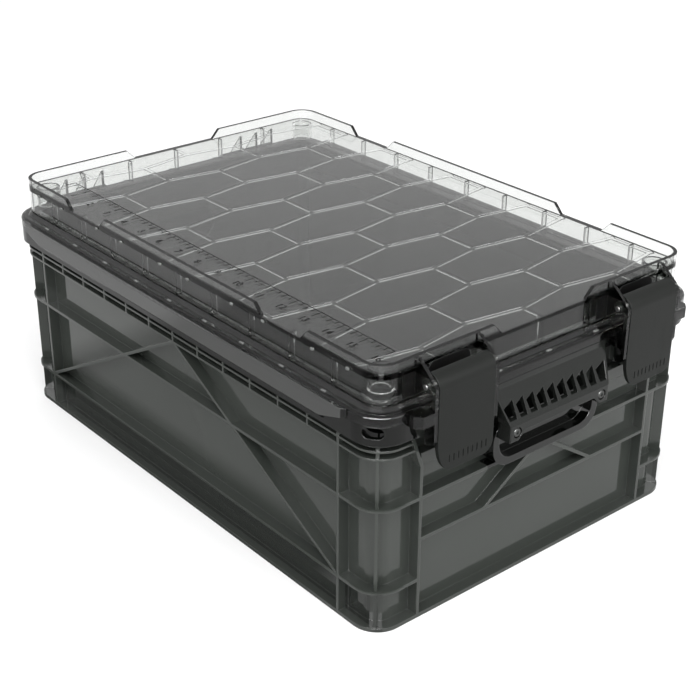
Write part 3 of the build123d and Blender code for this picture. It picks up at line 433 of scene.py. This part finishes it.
def block(work, low, high, round_by=0.0):
    """A box between two corners, with its edges rounded where round_by isn't 0."""
    made = bmesh.ops.create_cube(work, size=1.0)["verts"]
    for vert in made:
        for axis in range(3):
            middle = (low[axis] + high[axis]) / 2
            vert.co[axis] = middle + vert.co[axis] * (high[axis] - low[axis])
    if round_by:
        edges = {edge for vert in made for edge in vert.link_edges}
        bmesh.ops.bevel(
            work, geom=list(edges), offset=round_by, segments=2, profile=0.5, affect="EDGES")


def prism(work, outline_yz, x_low, x_high):
    """An outline in Y and Z, drawn out along X."""
    near = [work.verts.new((x_high, y, z)) for y, z in outline_yz]
    far = [work.verts.new((x_low, y, z)) for y, z in outline_yz]
    work.faces.new(near)
    work.faces.new(far[::-1])
    for k in range(len(near)):
        after = (k + 1) % len(near)
        work.faces.new((near[k], far[k], far[after], near[after]))


def centred(count, pitch):
    """Places in a row with their middle at 0."""
    return [(k - (count - 1) / 2) * pitch for k in range(count)]


# Dark band inside the foot of the flange, where it sits over the crate's rim: a painted shade that
# keeps the flange dark there
CONTACT_INNER = -7.6
CONTACT_OUTER = 0.9
CONTACT_LOW = FLANGE_UNDER + 0.15
CONTACT_HIGH = FLANGE_TOP - 0.5
CORNER_STEPS = 10


def outline_points(out):
    """The crate's rounded outline, moved out by this much."""
    points = []
    radius = CORNER_RADIUS + out
    for quarter, (sign_x, sign_y) in enumerate(((1, 1), (-1, 1), (-1, -1), (1, -1))):
        for step in range(CORNER_STEPS + 1):
            turn = math.radians(90 * (quarter + step / CORNER_STEPS))
            points.append((
                sign_x * (HALF_LENGTH - CORNER_RADIUS) + radius * math.cos(turn),
                sign_y * (HALF_WIDTH - CORNER_RADIUS) + radius * math.sin(turn),
            ))
    return points


def contact_band(work):
    """A flat ring that follows the crate's outline."""
    loops = []
    for out, z in (
        (CONTACT_OUTER, CONTACT_LOW), (CONTACT_OUTER, CONTACT_HIGH),
        (CONTACT_INNER, CONTACT_HIGH), (CONTACT_INNER, CONTACT_LOW),
    ):
        loops.append([work.verts.new((x, y, z)) for x, y in outline_points(out)])
    for first, second in zip(loops, loops[1:] + loops[:1]):
        for k in range(len(first)):
            after = (k + 1) % len(first)
            work.faces.new((first[k], first[after], second[after], second[k]))


piece("lid_contact_shade_band", contact_band, "lid", "seal")


# Ruler on the plate: a line, ticks each quarter inch and a number at each inch
INCH = 25.4
RULER_INCHES = 16
RULER_Y = -115.3
MARK_WIDTH = 0.7
MARK_LOW = PLATE_TOP - 0.05
MARK_RAISED = 0.12
TICK_LENGTHS = (8.4, 4.2, 6.2, 4.2)
NUMBER_Y = -133.4
NUMBER_SIZE = 8.6
NUMBER_THICKEN = 0.12


def ruler(work):
    half = RULER_INCHES * INCH / 2
    top = PLATE_TOP + MARK_RAISED
    block(work, (-half, RULER_Y, MARK_LOW), (half, RULER_Y + MARK_WIDTH, top))
    for tick in range(4 * RULER_INCHES + 1):
        x = tick * INCH / 4 - half
        foot_y = RULER_Y - TICK_LENGTHS[tick % 4]
        block(work, (x - MARK_WIDTH / 2, foot_y, MARK_LOW), (x + MARK_WIDTH / 2, RULER_Y, top))
    for inch in range(1, RULER_INCHES + 1):
        text = bpy.data.curves.new("number", "FONT")
        text.body = str(inch)
        text.size = NUMBER_SIZE
        text.align_x = "CENTER"
        text.extrude = MARK_RAISED / 2
        text.offset = NUMBER_THICKEN
        text.resolution_u = 3
        holder = bpy.data.objects.new("number", text)
        glyph = bpy.data.meshes.new_from_object(holder)
        start = len(work.verts)
        work.from_mesh(glyph)
        work.verts.ensure_lookup_table()
        for vert in work.verts[start:]:
            vert.co += Vector((inch * INCH - half, NUMBER_Y, PLATE_TOP + MARK_RAISED / 2))
        bpy.data.meshes.remove(glyph)
        bpy.data.objects.remove(holder)
        bpy.data.curves.remove(text)


piece("ruler_marks", ruler, "lid", "marks")


# Nubs on the foot of the lid's wall at each rib, and beads under the plate's edge in each bay, in
# pale grey: a painted glint
NUB_OUT = 5.6
NUB_HALF_LONG = 2.2
NUB_HALF_THICK = 1.0
NUB_LOW = FLANGE_TOP - 0.3
NUB_HIGH = FLANGE_TOP + 1.0
NUB_ROUND = 0.35
BEAD_FROM_RIB = 18.1
BEAD_OUT = 0.3
BEAD_HALF_LONG = 1.5
BEAD_HALF_THICK = 0.9
BEAD_LOW = 192.6
BEAD_HIGH = 194.6
BEAD_ROUND = 0.5


def nub(work, x, y, half_x, half_y):
    low, high = (x - half_x, y - half_y, NUB_LOW), (x + half_x, y + half_y, NUB_HIGH)
    block(work, low, high, NUB_ROUND)


def bead(work, x, y):
    low = (x - BEAD_HALF_LONG, y - BEAD_HALF_THICK, BEAD_LOW)
    high = (x + BEAD_HALF_LONG, y + BEAD_HALF_THICK, BEAD_HIGH)
    block(work, low, high, BEAD_ROUND)


def nubs_and_beads(work):
    for side in (-1, 1):
        for x in centred(RIBS_ALONG, RIB_PITCH_X):
            nub(work, x, side * (WALL_Y + NUB_OUT), NUB_HALF_LONG, NUB_HALF_THICK)
        for x in centred(RIBS_ALONG // 2 + 1, 2 * RIB_PITCH_X):
            bead(work, x - BEAD_FROM_RIB, side * (WALL_Y + BEAD_OUT))
            bead(work, x + BEAD_FROM_RIB, side * (WALL_Y + BEAD_OUT))
        for y in centred(RIBS_ACROSS, RIB_PITCH_Y):
            if abs(y) < LATCH_Y - RIB_PITCH_Y / 2:
                nub(work, side * (WALL_X + NUB_OUT), y, NUB_HALF_THICK, NUB_HALF_LONG)


piece("lid_nubs", nubs_and_beads, "lid", "nub")


# Black sheets on the lid's wall behind each latch, a painted shade: a capsule outside and a sheet
# inside
SHADE_TO_RIGHT = 20.8
SHADE_SUNK = 0.05
CAPSULE_TO_LEFT = 17.0
CAPSULE_LOW = 184.0
CAPSULE_HIGH = 195.7
CAPSULE_THICK = 0.5
CAPSULE_STEPS = 8
SHEET_TO_LEFT = 36.5
SHEET_LOW = 175.0
SHEET_HIGH = 192.6
SHEET_THICK = 0.6
SHEET_ROUND = 0.2


def backing(work):
    radius = (CAPSULE_HIGH - CAPSULE_LOW) / 2
    middle_z = (CAPSULE_LOW + CAPSULE_HIGH) / 2
    inner = WALL_X - LID_SKIN
    for latch_y in LATCHES.values():
        left, right = latch_y - CAPSULE_TO_LEFT, latch_y + SHADE_TO_RIGHT
        outline_yz = []
        for end, turn_from in ((right - radius, -90), (left + radius, 90)):
            for step in range(CAPSULE_STEPS + 1):
                turn = math.radians(turn_from + 180 * step / CAPSULE_STEPS)
                outline_yz.append(
                    (end + radius * math.cos(turn), middle_z + radius * math.sin(turn)))
        prism(work, outline_yz, WALL_X - SHADE_SUNK, WALL_X + CAPSULE_THICK)
        low = (inner - SHEET_THICK, latch_y - SHEET_TO_LEFT, SHEET_LOW)
        block(work, low, (inner + SHADE_SUNK, right, SHEET_HIGH), SHEET_ROUND)


piece("latch_shade_sheets", backing, "lid", "black")


# Grip grooves carved near the foot of each latch, and one lower corner swept round
GROOVES = 9
GROOVE_PITCH = 4.2
GROOVE_HALF_WIDTH = 0.6
GROOVE_DEPTH = 0.5
GROOVE_LOW = 130.0
GROOVE_HIGH = 135.6
GROOVES_TO_RIGHT = 2.0
SWEEP_WIDE = 12.5
SWEEP_TALL = 23.6
SWEEP_DEPTH = 9.0
SWEEP_STEPS = 12
PAST = 1.0


def carving(latch_y):
    """A function that fills what is cut from the latch at this place."""

    def fill(work):
        x_high = LATCH_FACE_X + PAST
        for y in centred(GROOVES, GROOVE_PITCH):
            y += latch_y + GROOVES_TO_RIGHT
            low = (LATCH_FACE_X - GROOVE_DEPTH, y - GROOVE_HALF_WIDTH, GROOVE_LOW)
            block(work, low, (x_high, y + GROOVE_HALF_WIDTH, GROOVE_HIGH))
        y, z = latch_y - LATCH_HALF_WIDTH, LATCH_BOTTOM
        outline_yz = [(y - PAST, z + SWEEP_TALL), (y - PAST, z - PAST), (y + SWEEP_WIDE, z - PAST)]
        for step in range(SWEEP_STEPS + 1):
            turn = math.radians(90 * step / SWEEP_STEPS)
            outline_yz.append((
                y + SWEEP_WIDE * (1 - math.sin(turn)),
                z + SWEEP_TALL * (1 - math.cos(turn)),
            ))
        prism(work, outline_yz, LATCH_FACE_X - SWEEP_DEPTH, x_high)

    return fill


for name, latch_y in LATCHES.items():
    cutter_name = name + "_cutter"
    cutter = bpy.data.objects.new(cutter_name, filled_mesh(cutter_name, carving(latch_y)))
    scene.collection.objects.link(cutter)
    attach(cutter, name)
    cutter.hide_render = True
    carve = nodes[name].modifiers.new("grooves", "BOOLEAN")
    carve.operation = "DIFFERENCE"
    carve.solver = "EXACT"
    carve.object = cutter


# Pale floor. The photo's ground is a cut-out white that isn't mirrored, so mirrors see a darker
# floor, darkest beside the long sides, and so does the view through the lid's near walls.
FLOOR_HALF = 12000.0
FLOOR_Z = -0.2
FLOOR_ROUGHNESS = 0.9
FLOOR_GREY = 0.9
# The mirrored, front, beside and behind greys are a painted reflection of the floor, and the
# through grey a painted shade seen through the lid's near walls
MIRRORED_GREY = 0.36
FRONT_GREY = 0.58
FRONT_X = (50.0, 250.0)
BESIDE_GREY = 0.03
BESIDE_Y = (184.0, 200.0)
BESIDE_X = (140.0, 170.0)
BEHIND_GREY = 0.7
BEHIND_X = (-300.0, -260.0)
BEHIND_Y = (200.0, 240.0)
THROUGH_GREY = 0.22
THROUGH_X = (240.0, 260.0)
THROUGH_Y = (-170.0, -150.0)


def grey(level):
    return (level, level, level)


def pale_floor(name):
    look = Look(name)
    ray = look.add("ShaderNodeLightPath").outputs
    mirrored = look.maths("SUBTRACT", ray["Is Glossy Ray"], ray["Is Transmission Ray"])
    x, y, _ = look.split_place()
    front = look.above(x, FRONT_X, smooth=True)
    seen = look.mix(front, grey(MIRRORED_GREY), grey(FRONT_GREY))
    beside = look.times(look.below(look.maths("ABSOLUTE", y), BESIDE_Y), look.below(x, BESIDE_X))
    seen = look.mix(beside, seen, grey(BESIDE_GREY))
    behind = look.most(look.below(x, BEHIND_X), look.above(y, BEHIND_Y))
    seen = look.mix(behind, seen, grey(BEHIND_GREY))
    seen = look.mix(mirrored, grey(FLOOR_GREY), seen)
    near = look.most(look.below(y, THROUGH_Y), look.above(x, THROUGH_X))
    through = look.times(near, ray["Is Transmission Ray"])
    look.surface("Base Color", look.mix(through, seen, grey(THROUGH_GREY)))
    look.surface("Roughness", FLOOR_ROUGHNESS)
    return look.material


half, z = FLOOR_HALF * MM, FLOOR_Z * MM
floor_mesh = bpy.data.meshes.new("floor")
floor_mesh.from_pydata(
    [(-half, -half, z), (half, -half, z), (half, half, z), (-half, half, z)], [], [(0, 1, 2, 3)])
floor_mesh.materials.append(pale_floor("floor"))
floor = bpy.data.objects.new("floor", floor_mesh)
scene.collection.objects.link(floor)


# White surroundings, a little dimmer in the direction that the plate mirrors to the camera
MIRRORED_DIRECTION = (-0.683, 0.575, 0.451)
DIM_FROM = 0.6
DIM_TO = 0.95
DIM_STRENGTH = 0.82

world = bpy.data.worlds.new("world")
world.use_nodes = True
world_tree = world.node_tree
background = world_tree.nodes["Background"]
background.inputs["Color"].default_value = (*WHITE, 1.0)
direction = world_tree.nodes.new("ShaderNodeTexCoord").outputs["Generated"]
facing = world_tree.nodes.new("ShaderNodeVectorMath")
facing.operation = "DOT_PRODUCT"
facing.inputs[1].default_value = MIRRORED_DIRECTION
world_tree.links.new(direction, facing.inputs[0])
dim = world_tree.nodes.new("ShaderNodeMapRange")
dim.interpolation_type = "SMOOTHSTEP"
dim_ends = {"From Min": DIM_FROM, "From Max": DIM_TO, "To Min": 1.0, "To Max": DIM_STRENGTH}
for key, number in dim_ends.items():
    dim.inputs[key].default_value = number
world_tree.links.new(facing.outputs["Value"], dim.inputs["Value"])
world_tree.links.new(dim.outputs["Result"], background.inputs["Strength"])
scene.world = world


# Soft lamps: name, place in metres, width and height in metres, and power. The glint lamp makes
# mirror highlights only, and the top lamp makes none.
LAMPS = (
    ("key", (0.9, -1.6, 1.9), 1.6, 1.6, 12.0),
    ("fill", (2.2, 0.6, 1.2), 1.6, 1.6, 24.0),
    ("top", (0.95, -0.8, 2.0), 1.8, 0.45, 22.0),
    ("glint", (1.08, -1.17, 1.04), 2.3, 0.8, 150.0),
)
LAMPS_AIM_AT = (0.0, 0.0, 0.1)
for name, where, wide, high, power in LAMPS:
    data = bpy.data.lights.new(name, "AREA")
    data.shape = "RECTANGLE"
    data.size = wide
    data.size_y = high
    data.energy = power
    light = bpy.data.objects.new(name, data)
    scene.collection.objects.link(light)
    light.location = where
    light.visible_diffuse = name != "glint"
    light.visible_glossy = name != "top"
    light.visible_transmission = name != "glint"
    aim = Vector(LAMPS_AIM_AT) - Vector(where)
    light.rotation_euler = aim.to_track_quat("-Z", "Y").to_euler()
